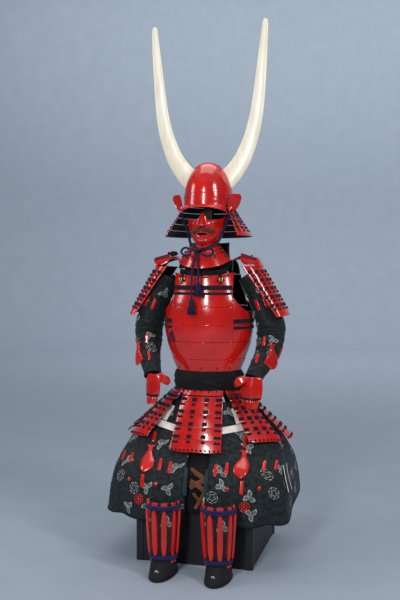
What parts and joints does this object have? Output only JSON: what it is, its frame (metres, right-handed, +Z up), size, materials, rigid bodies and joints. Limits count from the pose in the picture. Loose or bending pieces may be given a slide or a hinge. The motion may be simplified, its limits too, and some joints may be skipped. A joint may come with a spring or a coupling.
{
  "type": "samurai armour on its storage chest and stand",
  "caption": "Red lacquered samurai armour with tall ivory horns, dark brocade sleeves and thigh aprons, set up on its black storage chest.",
  "frame": {"origin": "centre of the storage chest's underside, on the surface it stands on", "axes": "+Z up, -Y the way the suit faces, +X the suit's left arm"},
  "size_m": [0.799, 0.7155, 2.2607],
  "materials": {
    "red_lacquer": "glossy vermilion lacquer over iron and hide",
    "navy_cord": "braided silk cord, matt",
    "brocade": "dark green woven brocade with pale leaf scrolls",
    "black_cloth": "matt black cloth",
    "pale_leather": "pale printed deerskin",
    "black_leather": "black leather",
    "ivory_horn": "lacquered wood, ivory colour",
    "grey_hair": "animal hair",
    "chest_wood": "dark lacquered wood"
  },
  "bodies": {
    "root": {"apron_band_left": "pale_leather", "apron_band_right": "pale_leather", "apron_gourd_left": "red_lacquer", "apron_gourd_right": "red_lacquer", "chest_body": "chest_wood", "chest_lid": "chest_wood", "chest_plate": "red_lacquer", "chin_cord": "navy_cord", "collar_back": "black_cloth", "collar_front": "black_cloth", "cord_bow": "navy_cord", "cord_knot": "navy_cord", "cord_strand_long": "navy_cord", "cord_strand_short": "navy_cord", "cuirass_back": "red_lacquer", "cuirass_front": "red_lacquer", "cuirass_side_left": "red_lacquer", "cuirass_side_right": "red_lacquer", "ear_plate_left": "red_lacquer", "ear_plate_right": "red_lacquer", "face_guard": "red_lacquer", "hand_guard_left": "red_lacquer", "hand_guard_right": "red_lacquer", "helmet_bowl": "red_lacquer", "helmet_peak": "red_lacquer", "horn_left": "ivory_horn", "horn_right": "ivory_horn", "inner_cloth": "black_cloth", "moustache": "grey_hair", "neck_guard": "red_lacquer", "shin_guard_left": "brocade", "shin_guard_right": "brocade", "shoe_left": "black_leather", "shoe_right": "black_leather", "shoulder_cap_left": "red_lacquer", "shoulder_cap_right": "red_lacquer", "shoulder_guard_left": "red_lacquer", "shoulder_guard_right": "red_lacquer", "shoulder_strap_left": "black_leather", "shoulder_strap_right": "black_leather", "sleeve_gourd_left": "red_lacquer", "sleeve_gourd_right": "red_lacquer", "sleeve_left": "brocade", "sleeve_right": "brocade", "stand": "chest_wood", "tassel_long": "navy_cord", "tassel_short": "navy_cord", "tasset_back_left": "red_lacquer", "tasset_back_right": "red_lacquer", "tasset_front": "red_lacquer", "tasset_front_left": "red_lacquer", "tasset_front_right": "red_lacquer", "tasset_side_left": "red_lacquer", "tasset_side_right": "red_lacquer", "thigh_apron_left": "brocade", "thigh_apron_right": "brocade", "throat_guard": "red_lacquer", "thumb_guard_left": "red_lacquer", "thumb_guard_right": "red_lacquer", "waist_sash": "black_cloth"}
  },
  "joints": []
}
